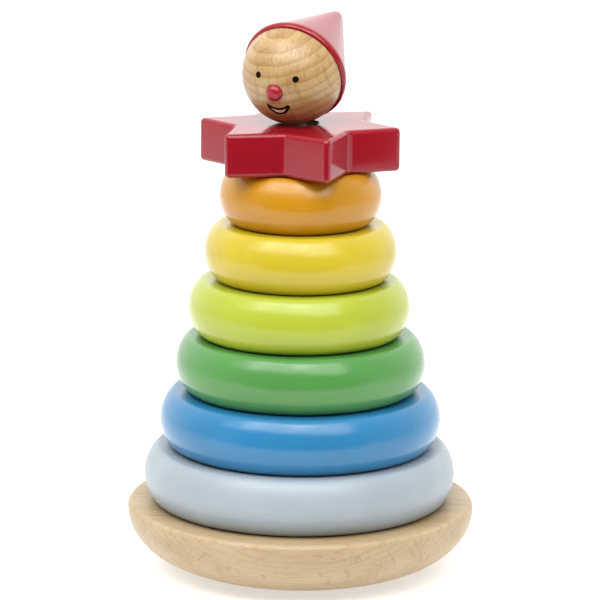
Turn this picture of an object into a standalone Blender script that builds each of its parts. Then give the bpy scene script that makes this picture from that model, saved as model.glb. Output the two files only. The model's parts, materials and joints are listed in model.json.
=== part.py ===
"""Wooden stacking ring toy: a rounded base with a glued post, six loose rings, a star collar and a head.

Metres, +Z up. The origin is the middle of the flat foot under the base.
The post leans a little in its socket. Rings and star have bores wider than the post, so they rest a little
off its axis, and everything lifts off along it.
"""
import math

import bmesh
import bpy
from mathutils import Matrix, Vector

MM = 0.001
TURN_STEPS = 40             # facets around a turned piece
SMALL_TURN_STEPS = 24       # facets around a thin turned piece
BORE_STEPS = 32             # facets around a drilled hole
BALL_FACETS = 12            # facets along each profile curve
BELLY_FACETS = 10
RIM_FACETS = 6
DOME_FACETS = 5
EASED_FACETS = 4
CORNER_FACETS = 3
BEVEL_FACETS = 2
STAR_EDGE_ANGLE = math.radians(50)
SMOOTH_ANGLE = math.radians(35)
MERGE = 0.000001            # merge distance for points that meet on a turning axis

# Clearances
GAP = 0.3 * MM              # between pieces that rest on, or are glued to, each other

# Base, turned from a thick board, with a bellied underside and a small flat foot
BASE_RADIUS = 65.0 * MM
BASE_HEIGHT = 24.9 * MM
FOOT_RADIUS = 28.0 * MM
BASE_TOP_ROUND = 2.2 * MM
BASE_BELLY_POWER = 0.95     # below 1 the belly is a little fuller than a quarter ellipse

# Post, a dowel glued into the base's blind socket
POST_RADIUS = 4.0 * MM
POST_FOOT_Z = 6.3 * MM
POST_LENGTH = 175.7 * MM
POST_TIP_ROUND = 2.5 * MM
POST_LEAN = math.radians(-1.0)   # about +Y, so the tip is a little to the left of the foot

# Rings, from the bottom up: name, outer radius, rest shift along X, colour
RING_PITCH = 21.13 * MM
RING_HEIGHT = RING_PITCH - GAP
RING_BORE_RADIUS = 7.0 * MM
RING_BORE_CHAMFER = 0.8 * MM
RING_BULGE = 5.6 * MM       # how far the rounded edge reaches past the flat faces
RING_BULGE_POWER = 1.15     # above 1 the edge is a little slimmer than a half ellipse
RINGS = (
    ("ring_light_blue", 58.3 * MM, -0.45 * MM, (0.56, 0.63, 0.67)),
    ("ring_blue", 52.6 * MM, -0.30 * MM, (0.045, 0.29, 0.60)),
    ("ring_green", 46.6 * MM, -0.35 * MM, (0.12, 0.39, 0.09)),
    ("ring_lime", 41.3 * MM, -1.05 * MM, (0.55, 0.68, 0.07)),
    ("ring_yellow", 35.7 * MM, -0.60 * MM, (0.84, 0.66, 0.04)),
    ("ring_orange", 30.0 * MM, -0.80 * MM, (0.74, 0.34, 0.03)),
)
RINGS_TOP_Z = BASE_HEIGHT + len(RINGS) * RING_PITCH

# Star collar, sawn from a board
STAR_POINTS = 6
STAR_TIP_RADIUS = 39.2 * MM
STAR_NOTCH_RADIUS = 24.9 * MM
STAR_HEIGHT = 16.1 * MM
STAR_TURN = math.radians(45.5)
STAR_TIP_ROUND = 1.8 * MM
STAR_NOTCH_ROUND = 4.0 * MM
STAR_EDGE_ROUND = 1.2 * MM
STAR_SHIFT = Vector((-1.3 * MM, 1.0 * MM))
STAR_TOP_Z = RINGS_TOP_Z + GAP + STAR_HEIGHT

# Head: a half ball, glued to the hat, with a small flat below and a blind bore that sits on the post's tip
BALL_RADIUS = 18.9 * MM
HEAD_CENTRE = Vector((-3.8 * MM, 0.5 * MM, 186.6 * MM))
HEAD_FLAT_Z = STAR_TOP_Z + GAP
HEAD_BORE_RADIUS = 4.3 * MM

# Hat: a turned cone whose axis leans back from the face, measured from the ball's centre along that axis
HAT_AZIMUTH = math.radians(66)
HAT_ELEVATION = math.radians(22)
HAT_RIM_RADIUS = 20.0 * MM
HAT_RIM_MIDDLE = 1.8 * MM
HAT_RIM_ROUND = 1.0 * MM    # how far the rim's edge reaches past the front face
HAT_TIP_MIDDLE = 40.0 * MM
HAT_TIP_ROUND = 3.25 * MM

# Nose: a domed plug pressed into a drilled hole in the face
NOSE_AZIMUTH = math.radians(-112.1)
NOSE_ELEVATION = math.radians(-14.5)
NOSE_RADIUS = 3.1 * MM
NOSE_PLUG_FOOT = 15.7 * MM  # distances from the ball's centre along the nose's axis
NOSE_SHOULDER = 19.0 * MM
NOSE_DOME = 2.1 * MM

WOOD = (0.70, 0.50, 0.28)
RED = (0.40, 0.012, 0.025)
LACQUER_ROUGHNESS = 0.22
BARE_WOOD_ROUGHNESS = 0.45


def clear_scene():
    """Remove every object that the file opens with."""
    for obj in list(bpy.data.objects):
        bpy.data.objects.remove(obj, do_unlink=True)


def new_collection(name):
    """Make a collection under the scene's own."""
    collection = bpy.data.collections.new(name)
    bpy.context.scene.collection.children.link(collection)
    return collection


def new_material(name, colour, roughness):
    """Make a plain Principled material of one colour."""
    material = bpy.data.materials.new(name)
    material.use_nodes = True
    shader = material.node_tree.nodes["Principled BSDF"]
    shader.inputs["Base Color"].default_value = (*colour, 1.0)
    shader.inputs["Roughness"].default_value = roughness
    shader.inputs["Metallic"].default_value = 0.0
    return material


def new_object(name, mesh, collection, material=None):
    """Put a mesh in the scene as a named object."""
    obj = bpy.data.objects.new(name, mesh)
    collection.objects.link(obj)
    if material:
        mesh.materials.append(material)
    return obj


def arc(centre, radii, start, end, count):
    """Points (r, z) on an elliptical arc about centre, from one angle to another, ends included."""
    points = []
    for i in range(count + 1):
        angle = start + (end - start) * i / count
        points.append((centre[0] + radii[0] * math.cos(angle), centre[1] + radii[1] * math.sin(angle)))
    return points


def turned(name, profile, collection, material=None, closed=False, steps=TURN_STEPS):
    """Turn a profile of (r, z) points about the object's Z axis.

    The points run down the outer side, from the top to the bottom.
    """
    mesh = bpy.data.meshes.new(name)
    vertices = [(r, 0.0, z) for r, z in profile]
    edges = [(i, i + 1) for i in range(len(vertices) - 1)]
    if closed:
        edges.append((len(vertices) - 1, 0))
    mesh.from_pydata(vertices, edges, [])
    obj = new_object(name, mesh, collection, material)
    screw = obj.modifiers.new("turn", "SCREW")
    screw.axis = "Z"
    screw.angle = 2 * math.pi
    screw.steps = steps
    screw.render_steps = steps
    screw.use_merge_vertices = True
    screw.merge_threshold = MERGE
    screw.use_smooth_shade = True
    return obj


def round_cutter(name, radius, bottom, top, cutters):
    """A plain cylinder along Z that bores a hole."""
    mesh = bpy.data.meshes.new(name)
    shape = bmesh.new()
    bmesh.ops.create_cone(shape, cap_ends=True, segments=BORE_STEPS, radius1=radius, radius2=radius,
                          depth=top - bottom)
    bmesh.ops.translate(shape, verts=shape.verts, vec=(0.0, 0.0, (top + bottom) / 2))
    shape.to_mesh(mesh)
    shape.free()
    return hide_cutter(new_object(name, mesh, cutters))


def block_cutter(name, size, centre, cutters):
    """A plain block that saws a flat."""
    mesh = bpy.data.meshes.new(name)
    shape = bmesh.new()
    bmesh.ops.create_cube(shape, size=size)
    bmesh.ops.translate(shape, verts=shape.verts, vec=centre)
    shape.to_mesh(mesh)
    shape.free()
    return hide_cutter(new_object(name, mesh, cutters))


def hide_cutter(obj):
    """Show a cutter as wire only, and keep it out of renders."""
    obj.display_type = "WIRE"
    obj.hide_render = True
    return obj


def cut(obj, cutter):
    """Take a cutter's volume away from an object."""
    boolean = obj.modifiers.new("cut_" + cutter.name, "BOOLEAN")
    boolean.operation = "DIFFERENCE"
    boolean.solver = "EXACT"
    boolean.object = cutter


def smooth(obj):
    """Shade a piece smooth, with its real edges left sharp."""
    obj.data.shade_smooth()
    if len(obj.data.polygons):
        obj.data.set_sharp_from_angle(angle=SMOOTH_ANGLE)


def direction(azimuth, elevation):
    """The unit vector at an azimuth about +Z and an elevation above the floor."""
    level = math.cos(elevation)
    return Vector((level * math.cos(azimuth), level * math.sin(azimuth), math.sin(elevation)))


def stand_along(obj, origin, axis):
    """Place an object so that its own Z axis points along a direction."""
    obj.rotation_euler = axis.to_track_quat("Z", "Y").to_euler()
    obj.location = origin


def lift_point(name, position, parent, collection):
    """An empty whose Z is a loose piece's sliding axis, carried by the piece below it."""
    empty = bpy.data.objects.new("lift_" + name, None)
    empty.empty_display_size = 10 * MM
    collection.objects.link(empty)
    if parent:
        empty.parent = parent
        empty.location = parent.matrix_world.inverted() @ position
    else:
        empty.location = position
        empty.rotation_euler.y = POST_LEAN
    bpy.context.view_layer.update()
    return empty


def carry(empty, obj):
    """Parent a piece to its lift point, and leave it where it stands."""
    bpy.context.view_layer.update()
    world = obj.matrix_world.copy()
    obj.parent = empty
    obj.matrix_parent_inverse = Matrix.Identity(4)
    obj.matrix_local = empty.matrix_world.inverted() @ world


def stand_on_post(obj):
    """Give an object the post's own axis, with the post's foot as its origin."""
    obj.rotation_euler.y = POST_LEAN
    obj.location.z = POST_FOOT_Z


def make_base(parts, cutters):
    """The turned base, with the blind socket that the post is glued in."""
    belly_top = BASE_HEIGHT - BASE_TOP_ROUND
    profile = [(0.0, BASE_HEIGHT)]
    profile += arc((BASE_RADIUS - BASE_TOP_ROUND, belly_top), (BASE_TOP_ROUND,) * 2, math.pi / 2, 0, EASED_FACETS)
    for i in range(1, BELLY_FACETS + 1):
        angle = math.pi / 2 * i / BELLY_FACETS
        out = math.cos(angle) ** BASE_BELLY_POWER
        down = math.sin(angle) ** BASE_BELLY_POWER
        r = FOOT_RADIUS + (BASE_RADIUS - FOOT_RADIUS) * out
        profile.append((r, belly_top * (1 - down)))
    profile[-1] = (FOOT_RADIUS, 0.0)
    profile.append((0.0, 0.0))
    base = turned("base", profile, parts, new_material("bare_wood", WOOD, BARE_WOOD_ROUGHNESS))
    socket = round_cutter("post_socket", POST_RADIUS + GAP, -GAP, BASE_HEIGHT, cutters)
    stand_on_post(socket)
    cut(base, socket)
    return base


def make_post(parts):
    """The dowel post, with a rounded tip, leaning in its socket."""
    tip = arc((POST_RADIUS - POST_TIP_ROUND, POST_LENGTH - POST_TIP_ROUND), (POST_TIP_ROUND,) * 2,
              math.pi / 2, 0, EASED_FACETS)
    profile = [(0.0, POST_LENGTH)] + tip + [(POST_RADIUS, 0.0), (0.0, 0.0)]
    material = new_material("dowel_wood", WOOD, BARE_WOOD_ROUGHNESS)
    post = turned("post", profile, parts, material, steps=SMALL_TURN_STEPS)
    stand_on_post(post)
    return post


def make_ring(name, radius, colour, parts):
    """One turned ring, standing on its own underside, with a bulging edge and a chamfered bore."""
    half = RING_HEIGHT / 2
    flat_radius = radius - RING_BULGE
    profile = [(RING_BORE_RADIUS + RING_BORE_CHAMFER, RING_HEIGHT)]
    for i in range(BELLY_FACETS + 1):
        angle = math.pi / 2 - math.pi * i / BELLY_FACETS
        across = abs(math.cos(angle)) ** RING_BULGE_POWER
        up = math.copysign(abs(math.sin(angle)) ** RING_BULGE_POWER, math.sin(angle))
        profile.append((flat_radius + RING_BULGE * across, half + half * up))
    profile.append((RING_BORE_RADIUS + RING_BORE_CHAMFER, 0.0))
    profile.append((RING_BORE_RADIUS, RING_BORE_CHAMFER))
    profile.append((RING_BORE_RADIUS, RING_HEIGHT - RING_BORE_CHAMFER))
    material = new_material(name + "_lacquer", colour, LACQUER_ROUGHNESS)
    return turned(name, profile, parts, material, closed=True)


def rounded_corner(before, corner, after, radius, count):
    """Points on the arc that rounds one corner of an outline."""
    to_before = (before - corner).normalized()
    to_after = (after - corner).normalized()
    half = to_before.angle(to_after) / 2
    inward = (to_before + to_after).normalized()
    centre = corner + inward * radius / math.sin(half)
    start = corner + to_before * radius / math.tan(half) - centre
    end = corner + to_after * radius / math.tan(half) - centre
    sweep = start.angle_signed(end)
    return [centre + Matrix.Rotation(-sweep * i / count, 2) @ start for i in range(count + 1)]


def star_outline():
    """The star's outline, with rounded tips and notches."""
    corners = []
    for i in range(2 * STAR_POINTS):
        angle = STAR_TURN + math.pi * i / STAR_POINTS
        radius = STAR_TIP_RADIUS if i % 2 == 0 else STAR_NOTCH_RADIUS
        corners.append(Vector((radius * math.cos(angle), radius * math.sin(angle))))
    outline = []
    for i, corner in enumerate(corners):
        radius = STAR_TIP_ROUND if i % 2 == 0 else STAR_NOTCH_ROUND
        after = corners[(i + 1) % len(corners)]
        outline += rounded_corner(corners[i - 1], corner, after, radius, CORNER_FACETS)
    return outline


def make_star(parts, cutters):
    """The star collar: an extruded outline, bored, with eased edges."""
    curve = bpy.data.curves.new("star_outline", "CURVE")
    curve.dimensions = "2D"
    curve.fill_mode = "BOTH"
    curve.extrude = STAR_HEIGHT / 2
    outline = star_outline()
    spline = curve.splines.new("POLY")
    spline.points.add(len(outline) - 1)
    for point, place in zip(spline.points, outline):
        point.co = (place.x, place.y, 0.0, 1.0)
    spline.use_cyclic_u = True
    guide = bpy.data.objects.new("star_outline", curve)
    parts.objects.link(guide)
    bpy.context.view_layer.update()
    depsgraph = bpy.context.evaluated_depsgraph_get()
    mesh = bpy.data.meshes.new_from_object(guide.evaluated_get(depsgraph))
    bpy.data.objects.remove(guide, do_unlink=True)
    shape = bmesh.new()
    shape.from_mesh(mesh)
    bmesh.ops.remove_doubles(shape, verts=shape.verts, dist=MERGE)
    bmesh.ops.recalc_face_normals(shape, faces=shape.faces)
    shape.to_mesh(mesh)
    shape.free()
    mesh.materials.clear()
    star = new_object("star", mesh, parts, new_material("star_lacquer", RED, LACQUER_ROUGHNESS))
    bore = round_cutter("star_bore", RING_BORE_RADIUS, -STAR_HEIGHT, STAR_HEIGHT, cutters)
    middle = Vector((STAR_SHIFT.x, STAR_SHIFT.y, STAR_TOP_Z - STAR_HEIGHT / 2))
    star.location = middle
    bore.location = middle
    cut(star, bore)
    ease = star.modifiers.new("ease_edges", "BEVEL")
    ease.width = STAR_EDGE_ROUND
    ease.segments = BEVEL_FACETS
    ease.limit_method = "ANGLE"
    ease.angle_limit = STAR_EDGE_ANGLE
    smooth(star)
    return star


def head_cutters(cutters):
    """The flat below the head, and the blind bore for the post."""
    size = 4 * BALL_RADIUS
    flat = block_cutter("head_flat", size, (0.0, 0.0, -size / 2), cutters)
    flat.location = (HEAD_CENTRE.x, HEAD_CENTRE.y, HEAD_FLAT_Z)
    bore = round_cutter("head_bore", HEAD_BORE_RADIUS, POST_LENGTH / 2, POST_LENGTH + GAP, cutters)
    stand_on_post(bore)
    return flat, bore


def make_head(parts, cutters, flat, bore):
    """The bare wooden half ball, with the nose's hole drilled in the face."""
    back = -GAP / 2
    edge = math.asin(back / BALL_RADIUS)
    profile = [(0.0, back)]
    profile += arc((0.0, 0.0), (BALL_RADIUS,) * 2, edge, -math.pi / 2, BALL_FACETS)
    profile[-1] = (0.0, -BALL_RADIUS)
    head = turned("head", profile, parts, new_material("face_wood", WOOD, BARE_WOOD_ROUGHNESS))
    stand_along(head, HEAD_CENTRE, direction(HAT_AZIMUTH, HAT_ELEVATION))
    hole = round_cutter("nose_hole", NOSE_RADIUS + GAP, NOSE_PLUG_FOOT - GAP, 2 * BALL_RADIUS, cutters)
    stand_along(hole, HEAD_CENTRE, direction(NOSE_AZIMUTH, NOSE_ELEVATION))
    for cutter in (flat, bore, hole):
        cut(head, cutter)
    return head


def make_hat(parts, flat, bore):
    """The turned cone hat: a flat front face, a rounded rim, a straight side and a blunt tip."""
    front = GAP / 2
    rim_radii = (HAT_RIM_ROUND, HAT_RIM_MIDDLE - front)
    rim_middle = (HAT_RIM_RADIUS - HAT_RIM_ROUND, HAT_RIM_MIDDLE)
    slope = (HAT_RIM_RADIUS - HAT_TIP_ROUND) / (HAT_TIP_MIDDLE - HAT_RIM_MIDDLE)
    tip_start = math.atan(slope)
    rim_start = math.atan(slope * rim_radii[1] / rim_radii[0])
    profile = arc((0.0, HAT_TIP_MIDDLE), (HAT_TIP_ROUND,) * 2, math.pi / 2, tip_start, DOME_FACETS)
    profile[0] = (0.0, HAT_TIP_MIDDLE + HAT_TIP_ROUND)
    profile += arc(rim_middle, rim_radii, rim_start, -math.pi / 2, RIM_FACETS)
    profile.append((0.0, front))
    hat = turned("hat", profile, parts, new_material("hat_lacquer", RED, LACQUER_ROUGHNESS))
    stand_along(hat, HEAD_CENTRE, direction(HAT_AZIMUTH, HAT_ELEVATION))
    for cutter in (flat, bore):
        cut(hat, cutter)
    return hat


def make_nose(parts):
    """The domed plug of the nose."""
    profile = arc((0.0, NOSE_SHOULDER), (NOSE_RADIUS, NOSE_DOME), math.pi / 2, 0, DOME_FACETS)
    profile[0] = (0.0, NOSE_SHOULDER + NOSE_DOME)
    profile += [(NOSE_RADIUS, NOSE_PLUG_FOOT), (0.0, NOSE_PLUG_FOOT)]
    material = new_material("nose_lacquer", RED, LACQUER_ROUGHNESS)
    nose = turned("nose", profile, parts, material, steps=SMALL_TURN_STEPS)
    stand_along(nose, HEAD_CENTRE, direction(NOSE_AZIMUTH, NOSE_ELEVATION))
    return nose


def build():
    """Make every piece, and hang the loose ones on a chain of lift points."""
    clear_scene()
    parts = new_collection("stacking_ring_toy")
    cutters = new_collection("cutters")
    make_base(parts, cutters)
    make_post(parts)
    below = None
    for level, (name, radius, shift, colour) in enumerate(RINGS):
        ring = make_ring(name, radius, colour, parts)
        ring.location = (shift, 0.0, BASE_HEIGHT + GAP + level * RING_PITCH)
        below = lift_point(name, ring.location, below, parts)
        carry(below, ring)
    star = make_star(parts, cutters)
    below = lift_point("star", Vector((*STAR_SHIFT, RINGS_TOP_Z + GAP)), below, parts)
    carry(below, star)
    flat, bore = head_cutters(cutters)
    below = lift_point("head", Vector((HEAD_CENTRE.x, HEAD_CENTRE.y, HEAD_FLAT_Z)), below, parts)
    for piece in (make_head(parts, cutters, flat, bore), make_hat(parts, flat, bore), make_nose(parts)):
        carry(below, piece)


build()
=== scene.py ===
import json
import math

import bmesh
import bpy
from mathutils import Matrix, Vector, noise


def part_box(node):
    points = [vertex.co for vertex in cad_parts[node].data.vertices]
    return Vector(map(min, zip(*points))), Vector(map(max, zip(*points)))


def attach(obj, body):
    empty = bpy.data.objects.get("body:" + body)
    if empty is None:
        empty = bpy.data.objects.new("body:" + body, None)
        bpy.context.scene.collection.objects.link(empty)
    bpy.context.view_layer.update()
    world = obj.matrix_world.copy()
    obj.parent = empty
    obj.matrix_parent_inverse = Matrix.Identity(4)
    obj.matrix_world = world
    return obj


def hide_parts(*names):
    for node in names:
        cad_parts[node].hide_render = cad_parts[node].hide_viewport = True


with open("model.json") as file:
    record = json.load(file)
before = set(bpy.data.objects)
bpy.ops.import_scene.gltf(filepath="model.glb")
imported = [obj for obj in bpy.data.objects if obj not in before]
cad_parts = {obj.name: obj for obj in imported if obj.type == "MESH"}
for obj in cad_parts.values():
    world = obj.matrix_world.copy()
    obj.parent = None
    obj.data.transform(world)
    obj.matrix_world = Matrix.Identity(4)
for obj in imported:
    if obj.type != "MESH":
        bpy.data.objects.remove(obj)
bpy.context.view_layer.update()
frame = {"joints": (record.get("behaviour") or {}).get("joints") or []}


# ---------------------------------------------------------------------------
# Base: a thick disc of solid beech, turned on a faceplate to a shallow bowl
# shape with a flat top and a small foot, sanded and oiled. A blind hole in
# the middle takes the post.
# ---------------------------------------------------------------------------

class Wire:
    """A shader socket. Arithmetic on it adds Math nodes to its finish."""

    def __init__(self, finish, socket):
        self.finish = finish
        self.socket = socket

    def __add__(self, other):
        return self.finish.step("ADD", self, other)

    def __radd__(self, other):
        return self.finish.step("ADD", other, self)

    def __sub__(self, other):
        return self.finish.step("SUBTRACT", self, other)

    def __mul__(self, other):
        return self.finish.step("MULTIPLY", self, other)

    def __rmul__(self, other):
        return self.finish.step("MULTIPLY", other, self)

    def __truediv__(self, other):
        return self.finish.step("DIVIDE", self, other)

    def __pow__(self, other):
        return self.finish.step("POWER", self, other)

    def fraction(self):
        return self.finish.step("FRACT", self)

    def above(self, level, softness):
        """0 below the level, rising to 1 over the softness."""
        return self.finish.node("ShaderNodeMapRange", {"interpolation_type": "SMOOTHSTEP"},
                                {"Value": self, "From Min": level, "From Max": level + softness})


class Finish:
    """A material, or the world, with the shader that it ends in and the nodes that drive it."""

    def __init__(self, owner, shader, fixed=None):
        owner.use_nodes = True
        self.owner = owner
        self.tree = owner.node_tree
        self.shader = self.tree.nodes[shader]
        self.feed(self.shader, fixed or {})

    def feed(self, node, sockets):
        for key, value in sockets.items():
            socket = next(s for s in node.inputs if key in (s.identifier, s.name))
            if isinstance(value, Wire):
                self.tree.links.new(value.socket, socket)
            else:
                socket.default_value = value

    def node(self, kind, settings=None, sockets=None, output=0):
        made = self.tree.nodes.new(kind)
        for key, value in (settings or {}).items():
            setattr(made, key, value)
        self.feed(made, sockets or {})
        return Wire(self, made.outputs[output])

    def step(self, operation, first, second=0.0):
        return self.node("ShaderNodeMath", {"operation": operation}, {"Value": first, "Value_001": second})

    def parts(self, vector):
        """The X, Y and Z of a vector."""
        split = self.node("ShaderNodeSeparateXYZ", {}, {"Vector": vector})
        return [Wire(self, socket) for socket in split.socket.node.outputs]

    def between(self, amount, low, high):
        """The colour low where amount is 0 and high where it is 1."""
        return self.node("ShaderNodeMix", {"data_type": "RGBA"},
                         {"Factor_Float": amount, "A_Color": low, "B_Color": high}, output=2)

    def board(self, turn=(0.0, 0.0, 0.0)):
        """The place in the piece in millimetres, turned so that X runs along the fibres."""
        place = self.node("ShaderNodeTexCoord", output=3)
        return self.node("ShaderNodeMapping", {},
                         {"Vector": place, "Rotation": turn, "Scale": (1000.0, 1000.0, 1000.0)})

    def streaks(self, board, along, across, detail):
        """Noise from 0 to 1 with that many waves in a millimetre along and across the fibres."""
        stretched = self.node("ShaderNodeVectorMath", {"operation": "MULTIPLY"},
                              {"Vector": board, "Vector_001": (along, across, across)})
        return self.node("ShaderNodeTexNoise", {}, {"Vector": stretched, "Scale": 1.0, "Detail": detail})

    def relief(self, height, depth):
        """A bumpy surface whose height runs from 0 to 1 over the depth in metres."""
        return self.node("ShaderNodeBump", {}, {"Height": height, "Strength": 1.0, "Distance": depth})


def beech(name, turn, pith, pith_distance, pale, deep, fixed, year=2.3, wandering=9.0, relief=0.00003,
          line_strength=0.26, fleck_strength=0.22, rays_per_mm=1.7, ray_length=7.5, ray_level=0.61):
    """Beech: yearly growth lines round a pith, fibre streaks, and rays.

    Lengths are in millimetres, apart from the depth of the relief, which is in metres.
    The pith is a line along the fibres through a (Y, Z) of the board, at about the given distance from the
    piece. A year is the width of one growth ring, and the wandering is how far the rings stray from round.
    A ray is a thin brown sheet that stands along the fibres and points at the pith, so it shows as a short
    dash on the side of a board and as a fine line across its end.
    """
    wood = Finish(bpy.data.materials.new(name), "Principled BSDF", fixed)
    board = wood.board(turn)
    wander = wood.streaks(board, 0.012, 0.045, 3.0)
    from_pith = wood.node("ShaderNodeVectorMath", {"operation": "SUBTRACT"},
                          {"Vector": board, "Vector_001": (0.0, pith[0], pith[1])})
    length, side, rise = wood.parts(from_pith)
    reach = (side * side + rise * rise) ** 0.5
    late_wood = ((reach + wander * wandering) / year).fraction() ** 3.0
    fibres = wood.streaks(board, 0.10, 1.5, 4.0)
    cloud = wood.streaks(board, 0.02, 0.09, 2.0)
    around = wood.step("ARCTAN2", side, rise) * pith_distance
    ray_place = wood.node("ShaderNodeCombineXYZ", {},
                          {"X": length * 0.32, "Y": reach / ray_length, "Z": around * rays_per_mm})
    rays = wood.node("ShaderNodeTexNoise", {}, {"Vector": ray_place, "Scale": 1.0, "Detail": 1.0})
    flecks = rays.above(ray_level, 0.09)
    tone = late_wood * line_strength + (fibres - 0.5) * 0.8 + (cloud - 0.5) * 1.1 + 0.34
    colour = wood.between(tone.above(0.0, 1.0), pale, deep)
    brown = tuple(d * shade for d, shade in zip(deep, RAY_SHADE)) + (1.0,)
    wood.feed(wood.shader, {
        "Base Color": wood.between(flecks * fleck_strength, colour, brown),
        "Roughness": fixed["Roughness"] + (fibres - 0.5) * 0.22 + flecks * 0.08,
        "Normal": wood.relief(fibres * 0.6 - flecks * 0.5 - late_wood * 0.25, relief),
    })
    return wood.owner


def arc(centre, radius, start, end, count):
    """Points (r, z) on an arc between two angles in degrees, ends included."""
    angles = [math.radians(start + (end - start) * i / count) for i in range(count + 1)]
    return [(centre[0] + radius * math.cos(a), centre[1] + radius * math.sin(a)) for a in angles]


def lathe(name, outline, steps, closed=False, place=None, sway=0.0):
    """A turned piece: points (r, z) go round the axis, and a point on the axis closes the end."""
    mesh = bmesh.new()
    rows = []
    for r, z in outline:
        if r < ON_THE_AXIS:
            rows.append([mesh.verts.new((0.0, 0.0, z))] * steps)
            continue
        angles = [2 * math.pi * i / steps for i in range(steps)]
        rows.append([mesh.verts.new((r * math.cos(a), r * math.sin(a), z)) for a in angles])
    pairs = list(zip(rows, rows[1:]))
    if closed:
        pairs.append((rows[-1], rows[0]))
    for upper, lower in pairs:
        for i in range(steps):
            corners = [upper[i], upper[i - 1], lower[i - 1], lower[i]]
            mesh.faces.new(list(dict.fromkeys(corners)))
    bmesh.ops.recalc_face_normals(mesh, faces=mesh.faces)
    return finished(name, mesh, place, sway)


def finished(name, mesh, place=None, sway=0.0):
    """The mesh as a smooth-shaded object. The sway is how far hand sanding leaves the surface uneven."""
    mesh.normal_update()
    start = Vector((len(name), 0.0, 0.0))
    for vert in mesh.verts:
        broad = noise.noise(vert.co * SANDING_WAVES + start)
        fine = noise.noise(vert.co * SANDING_RIPPLES - start)
        vert.co += vert.normal * (broad + fine * RIPPLE_SHARE) * sway
    mesh.transform(place or Matrix.Identity(4))
    data = bpy.data.meshes.new(name)
    mesh.to_mesh(data)
    mesh.free()
    data.shade_smooth()
    data.set_sharp_from_angle(angle=math.radians(SHARP_ANGLE))
    piece = bpy.data.objects.new(name, data)
    bpy.context.scene.collection.objects.link(piece)
    return piece


def settle(piece, body, node, slot, *materials):
    """The piece rides its body, stands for its frame node and takes the given materials. The slot is not
    used.
    """
    for material in materials:
        piece.data.materials.append(material)
    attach(piece, body)
    if node:
        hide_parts(node)


RAY_SHADE = (0.62, 0.52, 0.42)
ON_THE_AXIS = 1e-7
SANDING_WAVES = 55.0      # waves in a metre
SANDING_RIPPLES = 176.0
RIPPLE_SHARE = 0.18
SHARP_ANGLE = 38.0
BASE_STEPS = 224
BASE_FOOT_RADIUS = 0.028
BASE_RIM_ROUND = 0.0022
BASE_BELLY_POWER = 0.95
BASE_FOOT_ROUND = 0.0008
BASE_FOOT_MIDDLE = 0.012  # an inner circle that keeps the foot flat
BASE_SWAY = 0.00006
BASE_BELLY_STEPS = 40
BASE_RIM_STEPS = 9
BASE_TOP_BANDS = 6
RIM_BORDER = 0.0006       # narrow flat band that keeps the shading of a flat face flat
POST_HOLE_FLOOR = 0.0060
POST_HOLE_PLAY = 0.0003
POST_HOLE_MOUTH = 0.0004

base_low, base_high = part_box("base")
base_radius = (base_high.x - base_low.x) / 2 - BASE_SWAY
belly_height = base_high.z - BASE_RIM_ROUND
post_low, post_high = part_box("post")
post_radius = (post_high.y - post_low.y) / 2
hole_radius = post_radius + POST_HOLE_PLAY


def base_outline():
    top = base_high.z
    mouth = POST_HOLE_MOUTH
    outline = [(0.0, POST_HOLE_FLOOR), (hole_radius, POST_HOLE_FLOOR), (hole_radius, top - mouth),
               (hole_radius + mouth, top), (hole_radius + 2 * mouth, top)]
    flat_end = base_radius - BASE_RIM_ROUND
    band = (flat_end - hole_radius) / BASE_TOP_BANDS
    outline += [(hole_radius + band * i, top) for i in range(1, BASE_TOP_BANDS)]
    outline += [(flat_end - RIM_BORDER, top)]
    outline += arc((flat_end, belly_height), BASE_RIM_ROUND, 90, 0, BASE_RIM_STEPS)
    swell = base_radius - BASE_FOOT_RADIUS
    for i in range(1, BASE_BELLY_STEPS):
        a = math.radians(90 * i / BASE_BELLY_STEPS)
        outline.append((BASE_FOOT_RADIUS + swell * math.cos(a) ** BASE_BELLY_POWER,
                        belly_height * (1 - math.sin(a) ** BASE_BELLY_POWER)))
    foot = 2 * BASE_SWAY
    foot_radii = (BASE_FOOT_RADIUS, BASE_FOOT_RADIUS - BASE_FOOT_ROUND, BASE_FOOT_MIDDLE, 0.0)
    return outline + [(r, foot) for r in foot_radii]


bare_beech = beech("bare_beech", turn=(0.0, 0.0, math.radians(3.0)), pith=(45.0, -120.0),
                   pith_distance=130.0, pale=(0.435, 0.330, 0.195, 1.0), deep=(0.335, 0.222, 0.100, 1.0),
                   fixed={"Roughness": 0.42})
base_disc = lathe("base_disc", base_outline(), BASE_STEPS, sway=BASE_SWAY)
settle(base_disc, "base", "base", "bare_beech", bare_beech)


# ---------------------------------------------------------------------------
# Post: a straight beech dowel with a rounded top, glued into the base with a
# slight lean. The rings, the star and the head drop over it and slide off
# along it.
# ---------------------------------------------------------------------------

POST_STEPS = 64
POST_FOOT = Vector((0.0, 0.0, 0.0063))
POST_LENGTH = 0.1757
POST_TIP_ROUND = 0.0025
POST_TIP_STEPS = 8
POST_FOOT_EASE = 0.0005
POST_BANDS = 8
POST_SWAY = 0.00003

post_axis = Vector(frame["joints"][0]["axis"]).normalized()


def along(axis, centre):
    """Places a piece turned about Z so that its axis points that way from the centre."""
    return Matrix.Translation(centre) @ axis.to_track_quat("Z", "Y").to_matrix().to_4x4()


def post_outline():
    straight = POST_LENGTH - POST_TIP_ROUND
    outline = [(0.0, 0.0), (post_radius - POST_FOOT_EASE, 0.0), (post_radius, POST_FOOT_EASE)]
    outline += [(post_radius, straight * i / POST_BANDS) for i in range(1, POST_BANDS)]
    outline += arc((post_radius - POST_TIP_ROUND, straight), POST_TIP_ROUND, 0, 90, POST_TIP_STEPS)
    return outline + [(post_radius / 4, POST_LENGTH), (0.0, POST_LENGTH)]


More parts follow.
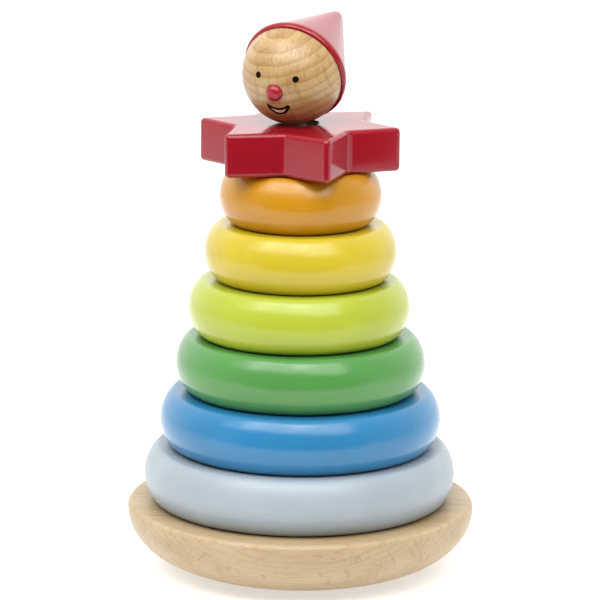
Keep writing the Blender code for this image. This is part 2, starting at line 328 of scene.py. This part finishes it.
dowel_beech = beech("dowel_beech", turn=(0.0, math.radians(90.0), 0.0), pith=(40.0, 14.0),
                    pith_distance=42.0, pale=(0.44, 0.34, 0.21, 1.0), deep=(0.34, 0.235, 0.12, 1.0),
                    fixed={"Roughness": 0.5}, year=1.8)
post_place = along(post_axis, POST_FOOT)
post_dowel = lathe("post_dowel", post_outline(), POST_STEPS, place=post_place, sway=POST_SWAY)
settle(post_dowel, "base", "post", "dowel_wood", dowel_beech)


# ---------------------------------------------------------------------------
# Rings: six beech discs, each turned to a fat rounded rim and drilled through
# the middle, then sprayed all over with glossy coloured lacquer. The thin
# paint leaves the bore nearly bare. The lowest ring has a satin finish.
# ---------------------------------------------------------------------------

RING_STEPS = 176
RING_BORE_RADIUS = 0.0070
RING_BORE_CHAMFER = 0.0008
RING_BULGE = 0.0056
RING_BULGE_POWER = 1.15
RING_PROFILE_STEPS = 36
RING_SWAY = 0.00007
BORE_BANDS = 4
BORE_MARGIN = 0.0001
CLOUD_DEPTH = 0.05
PEEL_DEPTH = 0.000012


def lacquer(name, colour, gloss, body=1.5):
    """Sprayed lacquer: slightly cloudy colour, a faint orange peel, and the grain just showing through."""
    paint = Finish(bpy.data.materials.new(name), "Principled BSDF", {"IOR": body})
    board = paint.board()
    clouds = paint.streaks(board, 0.03, 0.05, 3.0)
    grain = paint.streaks(board, 0.07, 0.9, 3.0)
    skin = paint.streaks(board, 0.35, 0.35, 2.0)
    pale = tuple(c * (1 + CLOUD_DEPTH) for c in colour) + (1.0,)
    deep = tuple(c * (1 - CLOUD_DEPTH) for c in colour) + (1.0,)
    paint.feed(paint.shader, {
        "Base Color": paint.between(clouds.above(0.3, 0.4), pale, deep),
        "Roughness": gloss * (0.85 + clouds * 0.3) + (grain - 0.5) * 0.03,
        "Normal": paint.relief(skin * 0.8 + grain * 0.35, PEEL_DEPTH),
    })
    return paint.owner


def ring_outline(reach, height):
    bore = RING_BORE_RADIUS
    cut = RING_BORE_CHAMFER
    outline = [(bore, height - cut), (bore + cut, height), (bore + 2 * cut, height)]
    half = height / 2
    shoulder = reach - RING_BULGE
    outline.append((shoulder - RIM_BORDER, height))
    for i in range(RING_PROFILE_STEPS + 1):
        a = math.radians(90 - 180 * i / RING_PROFILE_STEPS)
        rise = math.copysign(abs(math.sin(a)) ** RING_BULGE_POWER, math.sin(a))
        outline.append((shoulder + RING_BULGE * abs(math.cos(a)) ** RING_BULGE_POWER, half + half * rise))
    outline += [(shoulder - RIM_BORDER, 0.0), (bore + 2 * cut, 0.0), (bore + cut, 0.0), (bore, cut)]
    return outline + [(bore, height * i / BORE_BANDS) for i in range(1, BORE_BANDS)]


def bare_bore(piece, centre, radius):
    """Gives the wall of the drilled hole the second material."""
    for face in piece.data.polygons:
        x, y, _ = face.center
        if math.hypot(x - centre.x, y - centre.y) < radius + BORE_MARGIN:
            face.material_index = 1


for colour_name, colour, gloss in (
    ("light_blue", (0.300, 0.350, 0.385), 0.38),
    ("blue", (0.022, 0.168, 0.345), 0.21),
    ("green", (0.070, 0.235, 0.054), 0.21),
    ("lime", (0.350, 0.400, 0.030), 0.22),
    ("yellow", (0.485, 0.372, 0.018), 0.22),
    ("orange", (0.44, 0.198, 0.005), 0.23),
):
    ring_low, ring_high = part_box("ring_" + colour_name)
    ring_centre = (ring_low + ring_high) / 2
    ring_place = Matrix.Translation((ring_centre.x, ring_centre.y, ring_low.z))
    ring_reach = (ring_high.x - ring_low.x) / 2
    ring = lathe(colour_name + "_ring", ring_outline(ring_reach, ring_high.z - ring_low.z), RING_STEPS,
                 closed=True, place=ring_place, sway=RING_SWAY)
    bare_bore(ring, ring_centre, RING_BORE_RADIUS)
    settle(ring, "ring_" + colour_name, "ring_" + colour_name, f"ring_{colour_name}_lacquer",
           lacquer(colour_name + "_lacquer", colour, gloss), bare_beech)


# ---------------------------------------------------------------------------
# Star: a six-pointed slab sawn from a beech board, its corners and edges
# eased with a sander, drilled for the post and sprayed red.
# ---------------------------------------------------------------------------

STAR_POINTS = 6
STAR_TIP_RADIUS = 0.0392
STAR_NOTCH_RADIUS = 0.0249
STAR_TURN = 45.5
STAR_TIP_ROUND = 0.0018
STAR_NOTCH_ROUND = 0.0040
STAR_EDGE_ROUND = 0.0017
STAR_BORE_RADIUS = 0.0070
STAR_BORE_MOUTH = 0.0005
STAR_BORDER = 0.0007
STAR_SWAY = 0.00005
STAR_EDGE_STEPS = 7
STAR_BORE_STEPS = 64
CORNER_STEPS = 10


def eased_corner(before, corner, after, radius):
    """The arc that rounds one corner, as pairs of a point and the direction out of the slab."""
    to_before = (before - corner).normalized()
    to_after = (after - corner).normalized()
    half = to_before.angle(to_after) / 2
    centre = corner + (to_before + to_after).normalized() * radius / math.sin(half)
    start = corner + to_before * radius / math.tan(half) - centre
    end = corner + to_after * radius / math.tan(half) - centre
    sweep = start.angle_signed(end)
    outward = 1.0 if start.dot(corner) > 0 else -1.0
    turns = [Matrix.Rotation(-sweep * i / CORNER_STEPS, 2) @ start for i in range(CORNER_STEPS + 1)]
    return [(centre + turn, turn.normalized() * outward) for turn in turns]


def star_outline():
    corners = []
    for i in range(2 * STAR_POINTS):
        a = math.radians(STAR_TURN + 180 * i / STAR_POINTS)
        reach = STAR_NOTCH_RADIUS if i % 2 else STAR_TIP_RADIUS
        corners.append(Vector((math.cos(a), math.sin(a))) * reach)
    outline = []
    for i, corner in enumerate(corners):
        radius = STAR_NOTCH_ROUND if i % 2 else STAR_TIP_ROUND
        outline += eased_corner(corners[i - 1], corner, corners[(i + 1) % len(corners)], radius)
    return outline


def loop_at(mesh, points, z):
    return [mesh.verts.new((p.x, p.y, z)) for p in points]


def skin_loops(mesh, loops):
    """Faces between each loop of vertices and the next."""
    for upper, lower in zip(loops, loops[1:]):
        for i in range(len(upper)):
            mesh.faces.new((upper[i], upper[i - 1], lower[i - 1], lower[i]))


def star_slab(height):
    """The slab from z 0 up: an eased side, a drilled hole, and flat faces with narrow flat borders."""
    mesh = bmesh.new()
    outline = star_outline()
    ease = STAR_EDGE_ROUND
    levels = [(ease + STAR_BORDER, height)]
    levels += [(ease - r, height - ease + z) for r, z in arc((0.0, 0.0), ease, 90, 0, STAR_EDGE_STEPS)]
    levels += [(ease - r, ease + z) for r, z in arc((0.0, 0.0), ease, 0, -90, STAR_EDGE_STEPS)]
    levels += [(ease + STAR_BORDER, 0.0)]
    side = [loop_at(mesh, [p - out * inset for p, out in outline], z) for inset, z in levels]
    skin_loops(mesh, side)
    turns = [2 * math.pi * i / STAR_BORE_STEPS for i in range(STAR_BORE_STEPS)]
    rim = [Vector((math.cos(a), math.sin(a))) for a in turns]
    mouth = STAR_BORE_MOUTH
    bore_levels = [(2 * mouth, height), (mouth, height), (0.0, height - mouth), (0.0, height / 2),
                   (0.0, mouth), (mouth, 0.0), (2 * mouth, 0.0)]
    bore = [loop_at(mesh, [p * (STAR_BORE_RADIUS + wider) for p in rim], z) for wider, z in bore_levels]
    skin_loops(mesh, bore)
    for loops in ((side[0], bore[0]), (side[-1], bore[-1])):
        border = [mesh.edges.get((loop[i], loop[i - 1])) for loop in loops for i in range(len(loop))]
        bmesh.ops.triangle_fill(mesh, use_beauty=True, edges=border)
    bmesh.ops.recalc_face_normals(mesh, faces=mesh.faces)
    return mesh


star_low, star_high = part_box("star")
star_centre = (star_low + star_high) / 2
star_place = Matrix.Translation((star_centre.x, star_centre.y, star_low.z))
red_lacquer = lacquer("red_lacquer", (0.245, 0.0045, 0.0125), 0.11, body=1.45)
star = finished("red_star", star_slab(star_high.z - star_low.z), star_place, sway=STAR_SWAY)
bare_bore(star, star_centre, STAR_BORE_RADIUS)
settle(star, "star", "star", "red_lacquer", red_lacquer, bare_beech)


# ---------------------------------------------------------------------------
# Head: a beech ball turned with its end grain to the face and cut in half,
# with a small flat below and a blind hole that sits on the post's tip, rubbed
# smooth and varnished.
# ---------------------------------------------------------------------------

BALL_RADIUS = 0.0189
HEAD_RISE = 0.01822
HEAD_BORE_RADIUS = 0.0043
HEAD_BORE_CLEARANCE = 0.0003
HEAD_BACK = -0.00015      # the flat back, from the ball's middle along the axis of the hat
HEAD_CUT_RADIUS = 0.02
FOOT_CUT_DEPTH = 0.01
FOOT_CUT_STEPS = 32
HEAD_BORE_STEPS = 64
HAT_AZIMUTH = 66.0
HAT_ELEVATION = 22.0
HEAD_STEPS = 144
HEAD_BANDS = 72
FACE_PITH_SIDE = 12.0     # millimetres
FACE_PITH_DEPTH = 150.0

head_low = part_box("head")[0]
head_centre = head_low + Vector((BALL_RADIUS, BALL_RADIUS, HEAD_RISE))


def direction(azimuth, elevation):
    """The unit vector at an azimuth from X and an elevation above the table, both in degrees."""
    a = math.radians(azimuth)
    e = math.radians(elevation)
    return Vector((math.cos(a) * math.cos(e), math.sin(a) * math.cos(e), math.sin(e)))


def carve(piece, cutter):
    """Cuts the cutter out of the piece for good."""
    cut = piece.modifiers.new("cut", "BOOLEAN")
    cut.operation = "DIFFERENCE"
    cut.object = cutter
    bpy.context.view_layer.update()
    whole = piece.data
    carved = piece.evaluated_get(bpy.context.evaluated_depsgraph_get())
    piece.data = bpy.data.meshes.new_from_object(carved)
    piece.modifiers.clear()
    bpy.data.meshes.remove(whole)
    bpy.data.objects.remove(cutter)
    piece.data.set_sharp_from_angle(angle=math.radians(SHARP_ANGLE))


def half_ball_outline():
    limit = math.acos(HEAD_BACK / BALL_RADIUS)
    outline = []
    for i in range(HEAD_BANDS + 1):
        a = math.pi - (math.pi - limit) * i / HEAD_BANDS
        outline.append((BALL_RADIUS * math.sin(a), BALL_RADIUS * math.cos(a)))
    outline[0] = (0.0, -BALL_RADIUS)
    return outline + [(BALL_RADIUS / 2, HEAD_BACK), (0.0, HEAD_BACK)]


def rod(name, radius, low, high, place, steps):
    """A plain rod to drill with."""
    return lathe(name, [(0.0, high), (radius, high), (radius, low), (0.0, low)], steps, place=place)


hat_axis = direction(HAT_AZIMUTH, HAT_ELEVATION)
grain_turn = (Matrix.Rotation(math.radians(HAT_ELEVATION), 3, "Y")
              @ Matrix.Rotation(math.radians(-HAT_AZIMUTH), 3, "Z"))
board_centre = grain_turn @ head_centre * 1000.0
face_pith = (board_centre.y + FACE_PITH_SIDE, board_centre.z + FACE_PITH_DEPTH)
face_beech = beech("face_beech", turn=grain_turn.to_euler(), pith=face_pith, pith_distance=FACE_PITH_DEPTH,
                   pale=(0.435, 0.285, 0.118, 1.0), deep=(0.300, 0.158, 0.043, 1.0),
                   fixed={"Roughness": 0.38, "Coat Weight": 0.45, "Coat Roughness": 0.36},
                   year=3.3, wandering=4.5, relief=0.00002, line_strength=0.66, fleck_strength=0.33,
                   rays_per_mm=1.25, ray_length=14.0, ray_level=0.55)
head = lathe("head_ball", half_ball_outline(), HEAD_STEPS, place=along(hat_axis, head_centre))
below_head = Matrix.Translation((head_centre.x, head_centre.y, head_low.z))
carve(head, rod("foot_cutter", HEAD_CUT_RADIUS, -FOOT_CUT_DEPTH, 0.0, below_head, FOOT_CUT_STEPS))
carve(head, rod("bore_cutter", HEAD_BORE_RADIUS, POST_LENGTH / 2, POST_LENGTH + HEAD_BORE_CLEARANCE,
                post_place, HEAD_BORE_STEPS))
settle(head, "head", "head", "face_wood", face_beech)


# ---------------------------------------------------------------------------
# Face: two round eyes and a smile, printed on the varnish in black ink. The
# smile is a closed outline filled with pale ink.
# ---------------------------------------------------------------------------

EYES = {"right_eye": (-132.5, 4.4), "left_eye": (-87.4, 1.9)}   # azimuth and elevation on the ball
EYE_RADIUS = 0.00122
EYE_STEPS = 32
EYE_DOME = ((0.35, 1.0), (0.7, 0.9), (0.9, 0.65), (1.0, 0.2))   # shares of the radius and of the height
INK_HEIGHT = 0.00003
INK_EDGE_HEIGHT = 0.000009
INK_ROOT = 0.00008
INK_TOOTH = 0.000004
PALE_INK_HEIGHT = 0.000012
MOUTH_AZIMUTH = -110.1
MOUTH_HALF_WIDTH = 14.3
MOUTH_CORNER_ELEVATION = -30.4
MOUTH_UPPER_SAG = 5.4
MOUTH_LOWER_SAG = 12.7
MOUTH_UPPER_FULLNESS = 1.0
MOUTH_LOWER_FULLNESS = 0.62
MOUTH_STEPS = 28
MOUTH_BANDS = 8
INK_LINE_HALF_WIDTH = 0.00055
INK_LINE_FLAT = 0.6


def ink(name, colour, roughness):
    """Printed ink, a little uneven in colour and sheen."""
    print_ink = Finish(bpy.data.materials.new(name), "Principled BSDF",
                       {"IOR": 1.45, "Specular IOR Level": 0.06})
    spread = print_ink.streaks(print_ink.board(), 1.6, 1.6, 3.0)
    thin = tuple(c * 1.2 + 0.001 for c in colour) + (1.0,)
    print_ink.feed(print_ink.shader, {
        "Base Color": print_ink.between(spread.above(0.35, 0.3), colour + (1.0,), thin),
        "Roughness": roughness + (spread - 0.5) * 0.2,
        "Normal": print_ink.relief(spread, INK_TOOTH),
    })
    return print_ink.owner


def on_ball(point_direction, lift):
    """The place in that direction from the ball's middle, lifted off its surface."""
    return head_centre + point_direction * (BALL_RADIUS + lift)


def dab(name, towards, radius):
    """A round dab of ink on the ball, domed by its own thickness."""
    mesh = bmesh.new()
    side = towards.orthogonal().normalized()
    up = towards.cross(side)
    turns = [2 * math.pi * i / EYE_STEPS for i in range(EYE_STEPS)]
    rim = [side * math.cos(a) + up * math.sin(a) for a in turns]
    loops = []
    for share, lift in [(share, INK_HEIGHT * rise) for share, rise in EYE_DOME] + [(1.0, -INK_ROOT)]:
        reach = math.tan(radius * share / BALL_RADIUS)
        loops.append([mesh.verts.new(on_ball((towards + r * reach).normalized(), lift)) for r in rim])
    skin_loops(mesh, loops)
    mesh.faces.new(loops[0])
    mesh.faces.new(loops[-1])
    bmesh.ops.recalc_face_normals(mesh, faces=mesh.faces)
    return finished(name, mesh)


def smile_line(sag, power):
    """Directions along one lip, from the right corner of the mouth to the left one."""
    line = []
    for i in range(MOUTH_STEPS + 1):
        s = -math.cos(math.pi * i / MOUTH_STEPS)
        drop = sag * (1 - s * s) ** power
        line.append(direction(MOUTH_AZIMUTH + MOUTH_HALF_WIDTH * s, MOUTH_CORNER_ELEVATION - drop))
    return line


def smile_outline(name):
    """The printed line round the mouth: a closed ribbon that follows the ball."""
    path = upper_lip[:-1] + lower_lip[:0:-1]
    mesh = bmesh.new()
    loops = []
    for share, lift in ((-1.0, -INK_ROOT), (-1.0, INK_EDGE_HEIGHT), (-INK_LINE_FLAT, INK_HEIGHT),
                        (INK_LINE_FLAT, INK_HEIGHT), (1.0, INK_EDGE_HEIGHT), (1.0, -INK_ROOT)):
        loop = []
        for i, here in enumerate(path):
            ahead = (path[(i + 1) % len(path)] - path[i - 1]).normalized()
            across = here.cross(ahead) * (share * INK_LINE_HALF_WIDTH / BALL_RADIUS)
            loop.append(mesh.verts.new(on_ball((here + across).normalized(), lift)))
        loops.append(loop)
    skin_loops(mesh, loops + loops[:1])
    bmesh.ops.recalc_face_normals(mesh, faces=mesh.faces)
    return finished(name, mesh)


def smile_filling(name):
    """The pale ink inside the line, a closed thin sheet that follows the ball."""
    mesh = bmesh.new()
    rims = []
    for lift in (PALE_INK_HEIGHT, -INK_ROOT):
        rows = []
        for step in range(MOUTH_BANDS + 1):
            rows.append([mesh.verts.new(on_ball(above.lerp(below, step / MOUTH_BANDS).normalized(), lift))
                         for above, below in zip(upper_lip[1:-1], lower_lip[1:-1])])
        for first, second in zip(rows, rows[1:]):
            for i in range(1, len(first)):
                mesh.faces.new((first[i - 1], first[i], second[i], second[i - 1]))
        left_side = [row[-1] for row in rows[1:-1]]
        right_side = [row[0] for row in rows[-2:0:-1]]
        rims.append(rows[0] + left_side + rows[-1][::-1] + right_side)
    skin_loops(mesh, rims)
    bmesh.ops.recalc_face_normals(mesh, faces=mesh.faces)
    return finished(name, mesh)


upper_lip = smile_line(MOUTH_UPPER_SAG, MOUTH_UPPER_FULLNESS)
lower_lip = smile_line(MOUTH_LOWER_SAG, MOUTH_LOWER_FULLNESS)
black_ink = ink("black_ink", (0.002, 0.0015, 0.0015), 0.6)
pale_ink = ink("pale_ink", (0.62, 0.46, 0.29), 0.45)
for eye_name, (azimuth, elevation) in EYES.items():
    settle(dab(eye_name, direction(azimuth, elevation), EYE_RADIUS), "head", None, "face_ink", black_ink)
settle(smile_outline("mouth_line"), "head", None, "face_ink", black_ink)
settle(smile_filling("mouth_filling"), "head", None, "face_ink", pale_ink)


# ---------------------------------------------------------------------------
# Nose: a short dowel with a domed end, lacquered red and pressed into a hole
# in the middle of the face.
# ---------------------------------------------------------------------------

NOSE_AZIMUTH = -112.1
NOSE_ELEVATION = -14.5
NOSE_RADIUS = 0.0031
NOSE_FOOT = 0.0157
NOSE_SHOULDER = 0.0190
NOSE_DOME = 0.0021
NOSE_DOME_POWER = 0.8
NOSE_DOME_STEPS = 14
NOSE_FOOT_EASE = 0.0003
NOSE_STEPS = 56
NOSE_HOLE_RADIUS = 0.00325
NOSE_HOLE_FOOT = 0.0153
NOSE_HOLE_MOUTH = 0.024
NOSE_HOLE_STEPS = 48


def nose_outline():
    ease = NOSE_FOOT_EASE
    outline = [(0.0, NOSE_FOOT), (NOSE_RADIUS - ease, NOSE_FOOT), (NOSE_RADIUS, NOSE_FOOT + ease)]
    for i in range(NOSE_DOME_STEPS + 1):
        a = math.radians(90 * i / NOSE_DOME_STEPS)
        reach = NOSE_RADIUS * math.cos(a) ** NOSE_DOME_POWER
        outline.append((reach, NOSE_SHOULDER + NOSE_DOME * math.sin(a)))
    outline[-1] = (0.0, NOSE_SHOULDER + NOSE_DOME)
    return outline


nose_place = along(direction(NOSE_AZIMUTH, NOSE_ELEVATION), head_centre)
carve(head, rod("nose_cutter", NOSE_HOLE_RADIUS, NOSE_HOLE_FOOT, NOSE_HOLE_MOUTH, nose_place,
                NOSE_HOLE_STEPS))
nose = lathe("nose_peg", nose_outline(), NOSE_STEPS, place=nose_place)
settle(nose, "head", "nose", "nose_lacquer", lacquer("nose_lacquer", (0.29, 0.005, 0.018), 0.26))


# ---------------------------------------------------------------------------
# Hat: a turned beech cone with a rounded brim and tip, lacquered red. It is
# glued to the flat back of the head, leaning back, and meets the face in a
# fine seam.
# ---------------------------------------------------------------------------

HAT_FRONT = 0.00015
HAT_RIM_RADIUS = 0.0200
HAT_RIM_HEIGHT = 0.0018
HAT_RIM_ROUND = 0.0010
HAT_RIM_ROUND_HEIGHT = 0.00165
HAT_TIP_HEIGHT = 0.0400
HAT_TIP_ROUND = 0.00325
HAT_TIP_STEPS = 14
HAT_RIM_STEPS = 12
HAT_SLOPE_BANDS = 12
HAT_FRONT_BAND = 0.012
HAT_CUT_RADIUS = 0.03
HAT_STEPS = 144
HAT_SWAY = 0.00003


def hat_outline():
    slope = (HAT_RIM_RADIUS - HAT_TIP_ROUND) / (HAT_TIP_HEIGHT - HAT_RIM_HEIGHT)
    tip_start = math.atan(slope)
    rim_start = math.atan(slope * HAT_RIM_ROUND_HEIGHT / HAT_RIM_ROUND)
    tip = arc((0.0, HAT_TIP_HEIGHT), HAT_TIP_ROUND, 90, math.degrees(tip_start), HAT_TIP_STEPS)
    tip[0] = (0.0, HAT_TIP_HEIGHT + HAT_TIP_ROUND)
    rim = []
    for i in range(HAT_RIM_STEPS + 1):
        a = rim_start - (rim_start + math.pi / 2) * i / HAT_RIM_STEPS
        rim.append((HAT_RIM_RADIUS - HAT_RIM_ROUND + HAT_RIM_ROUND * math.cos(a),
                    HAT_RIM_HEIGHT + HAT_RIM_ROUND_HEIGHT * math.sin(a)))
    top, foot = Vector(tip[-1]), Vector(rim[0])
    side = [tuple(top.lerp(foot, i / HAT_SLOPE_BANDS)) for i in range(1, HAT_SLOPE_BANDS)]
    return tip + side + rim + [(HAT_FRONT_BAND, HAT_FRONT), (0.0, HAT_FRONT)]


hat = lathe("pointed_hat", hat_outline(), HAT_STEPS, place=along(hat_axis, head_centre), sway=HAT_SWAY)
carve(hat, rod("hat_foot_cutter", HAT_CUT_RADIUS, -FOOT_CUT_DEPTH, 0.0, below_head, FOOT_CUT_STEPS))
settle(hat, "head", "hat", "red_lacquer", red_lacquer)


# ---------------------------------------------------------------------------
# Studio: a white table top that runs out of sight, two large softboxes side
# by side above the front and a weaker one out to the left, a black flag low in
# front that keeps the colours deep, and a surround that is bright behind.
# ---------------------------------------------------------------------------

TABLE_REACH = 4.0
TABLE_MIDDLE = 0.5
TABLE_DROP = 0.0002
TABLE_STEPS = 96
AIM = Vector((0.0, 0.0, 0.1))
SOFTBOX_DISTANCE = 1.0
SOFTBOXES = {   # turn to the right, height above the table, width, height, brightness
    "left_softbox": (-29.0, 56.0, 0.78, 0.76, 3.9),
    "right_softbox": (25.0, 51.5, 0.68, 0.86, 4.0),
    "wing_softbox": (-62.0, 52.0, 0.44, 0.80, 1.8),
}
FLAG_DISTANCE = 0.42
FLAG_HALF_WIDTH = 0.50
FLAG_HEIGHT = 0.33
SURROUND_FRONT = 0.48
SURROUND_BACK = 1.5

paper = Finish(bpy.data.materials.new("white_paper"), "Principled BSDF",
               {"Roughness": 0.9, "Emission Strength": 0.5})
paper_grain = paper.streaks(paper.board(), 0.02, 0.02, 4.0)
paper.feed(paper.shader, {
    "Base Color": paper.between(paper_grain, (0.75, 0.75, 0.75, 1.0), (0.79, 0.79, 0.79, 1.0)),
    "Emission Color": (1.0, 1.0, 1.0, 1.0),
})
table = lathe("table_top", [(0.0, 0.0), (TABLE_MIDDLE, 0.0), (TABLE_REACH, 0.0)], TABLE_STEPS)
table.location.z = -TABLE_DROP
table.data.materials.append(paper.owner)

black_card = Finish(bpy.data.materials.new("black_card"), "Principled BSDF", {"Roughness": 0.9})
card_grain = black_card.streaks(black_card.board(), 0.05, 0.05, 2.0)
black_card.feed(black_card.shader, {
    "Base Color": black_card.between(card_grain, (0.03, 0.03, 0.03, 1.0), (0.05, 0.05, 0.05, 1.0))})
card = bmesh.new()
card_corners = [(-FLAG_HALF_WIDTH, 0.0), (FLAG_HALF_WIDTH, 0.0), (FLAG_HALF_WIDTH, FLAG_HEIGHT),
                (-FLAG_HALF_WIDTH, FLAG_HEIGHT)]
card.faces.new([card.verts.new((x, -FLAG_DISTANCE, z)) for x, z in card_corners])
flag = finished("front_flag", card)
flag.data.materials.append(black_card.owner)
flag.visible_camera = False

for light_name, (azimuth, elevation, width, height, brightness) in SOFTBOXES.items():
    light = bpy.data.lights.new(light_name, "AREA")
    light.shape = "RECTANGLE"
    light.size = width
    light.size_y = height
    light.energy = brightness * math.pi * width * height
    softbox = bpy.data.objects.new(light_name, light)
    outward = direction(azimuth - 90.0, elevation)
    softbox.location = AIM + outward * SOFTBOX_DISTANCE
    softbox.rotation_euler = outward.to_track_quat("Z", "Y").to_euler()
    softbox.visible_camera = False
    bpy.context.scene.collection.objects.link(softbox)

world = bpy.data.worlds.new("bright_surround")
bpy.context.scene.world = world
surround = Finish(world, "Background", {"Color": (1.0, 1.0, 1.0, 1.0)})
to_back = surround.parts(surround.node("ShaderNodeTexCoord"))[1]
surround.feed(surround.shader, {
    "Strength": SURROUND_FRONT + to_back.above(-0.4, 1.1) * (SURROUND_BACK - SURROUND_FRONT)})


# ---------------------------------------------------------------------------
# Camera: a long lens from the front, a little above the toy and looking down
# on it.
# ---------------------------------------------------------------------------

CAMERA_PLACE = Vector((0.0, -1.31434, 0.39755))
CAMERA_YAW = math.radians(-0.0317)
CAMERA_PITCH = math.radians(12.7051)
CAMERA_ROLL = math.radians(0.45)
CAMERA_LENS = 217.04
CAMERA_SENSOR = 36.0

camera_data = bpy.data.cameras.new("camera")
camera_data.sensor_width = CAMERA_SENSOR
camera_data.lens = CAMERA_LENS
camera_data.clip_start = 0.05
camera_data.clip_end = 20.0
camera = bpy.data.objects.new("camera", camera_data)
bpy.context.scene.collection.objects.link(camera)
camera.matrix_world = (Matrix.Translation(CAMERA_PLACE)
                       @ Matrix.Rotation(-CAMERA_YAW, 4, "Z")
                       @ Matrix.Rotation(math.pi / 2 - CAMERA_PITCH, 4, "X")
                       @ Matrix.Rotation(CAMERA_ROLL, 4, "Z"))
bpy.context.scene.camera = camera
bpy.context.scene.view_settings.view_transform = "Standard"
